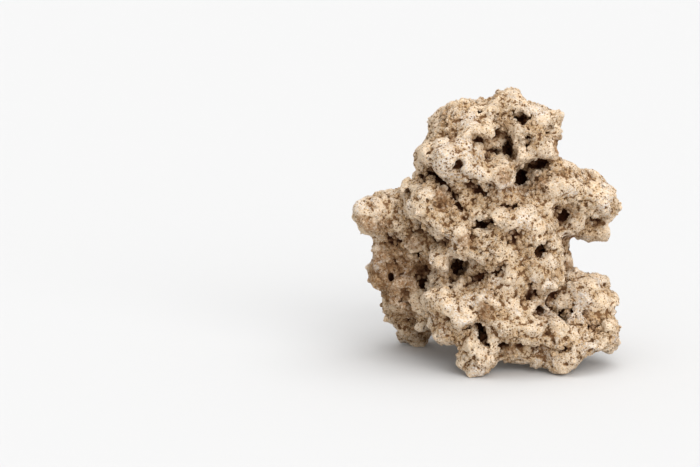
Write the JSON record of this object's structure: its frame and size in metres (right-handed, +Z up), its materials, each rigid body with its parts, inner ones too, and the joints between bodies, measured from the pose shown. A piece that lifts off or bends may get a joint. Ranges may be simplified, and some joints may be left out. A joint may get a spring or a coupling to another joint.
{
  "type": "dry reef rock",
  "caption": "Upright chunk of dry, porous coral limestone: knobbly lobes, holes and crevices, an open notch under an arm, and worn feet to stand on.",
  "frame": {"origin": "on the surface that the rock stands on, under the middle of its bounding box", "axes": "+Z up, +X to the right and +Y to the back as seen from the pictured side, which faces -Y"},
  "size_m": [0.229, 0.165, 0.2337],
  "materials": {
    "limestone": "dry, matt and crumbly, cream with tan pits and chalky white crusts"
  },
  "bodies": {
    "root": {"reef_rock": "limestone"}
  },
  "joints": []
}
